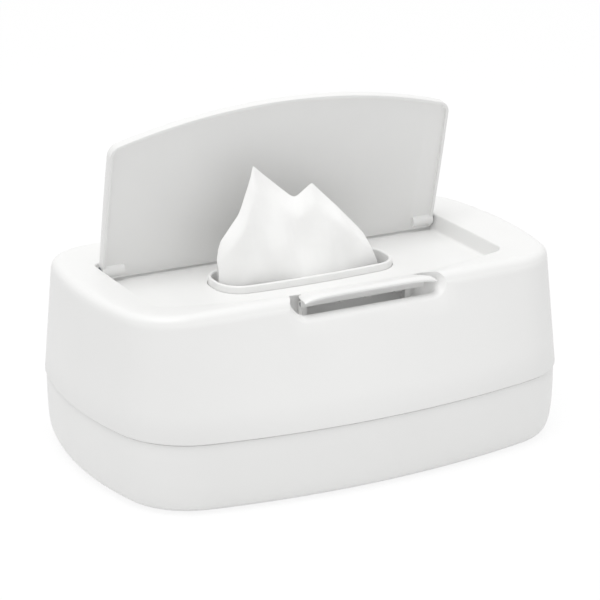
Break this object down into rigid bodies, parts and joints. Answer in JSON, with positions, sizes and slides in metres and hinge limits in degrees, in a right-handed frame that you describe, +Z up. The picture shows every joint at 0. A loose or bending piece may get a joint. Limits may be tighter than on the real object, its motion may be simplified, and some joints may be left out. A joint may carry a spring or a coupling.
{
  "type": "wipes box",
  "caption": "Wipes dispenser box: a rounded tray under a lift-off shell, with a sprung flip-up lid, a press paddle over a finger scoop and a raised collar that a wipe stands in",
  "frame": {"origin": "centre of the footprint, on the resting surface under the feet", "axes": "+X along the box to its right end, +Y to the back where the lid is hinged, +Z up"},
  "size_m": [0.24, 0.1638, 0.1635],
  "materials": {
    "white_shell": "satin injection-moulded polypropylene",
    "white_lid": "satin injection-moulded polypropylene",
    "white_collar": "satin injection-moulded polypropylene",
    "white_paddle": "satin injection-moulded polypropylene",
    "soft_foot": "matt moulded elastomer",
    "spring_steel": "drawn spring wire and ground pins",
    "wipe_cloth": "moist nonwoven wipe"
  },
  "bodies": {
    "base": {"base_tray": "white_shell", "foot_front_left": "soft_foot", "foot_front_right": "soft_foot", "foot_rear_left": "soft_foot", "foot_rear_right": "soft_foot", "wipe_stack": "wipe_cloth", "raised_wipe": "wipe_cloth"},
    "upper": {"top_shell": "white_shell", "dispensing_collar": "white_collar", "paddle_pin": "spring_steel", "paddle_spring": "spring_steel", "lid_spring_left": "spring_steel", "lid_spring_right": "spring_steel"},
    "lid": {"lid": "white_lid", "lid_pin_left": "spring_steel", "lid_pin_right": "spring_steel"},
    "paddle": {"press_paddle": "white_paddle"}
  },
  "joints": [
    {"name": "shell_lift", "type": "slide", "parent": "base", "child": "upper", "axis": [0, 0, 1], "range_m": [0, 0.12], "deforming": ["raised_wipe"]},
    {"name": "lid_hinge", "type": "hinge", "parent": "upper", "child": "lid", "pos_m": [0, 0.0314, 0.0864], "axis": [1, 0, 0], "range_deg": [0, 77.2], "stiffness_Nm_per_rad": 0.02, "springref_deg": -28.65, "deforming": ["raised_wipe"]},
    {"name": "paddle_press", "type": "hinge", "parent": "upper", "child": "paddle", "pos_m": [0, -0.0526, 0.0855], "axis": [1, 0, 0], "range_deg": [0, 8], "stiffness_Nm_per_rad": 0.05, "springref_deg": -11.46}
  ]
}
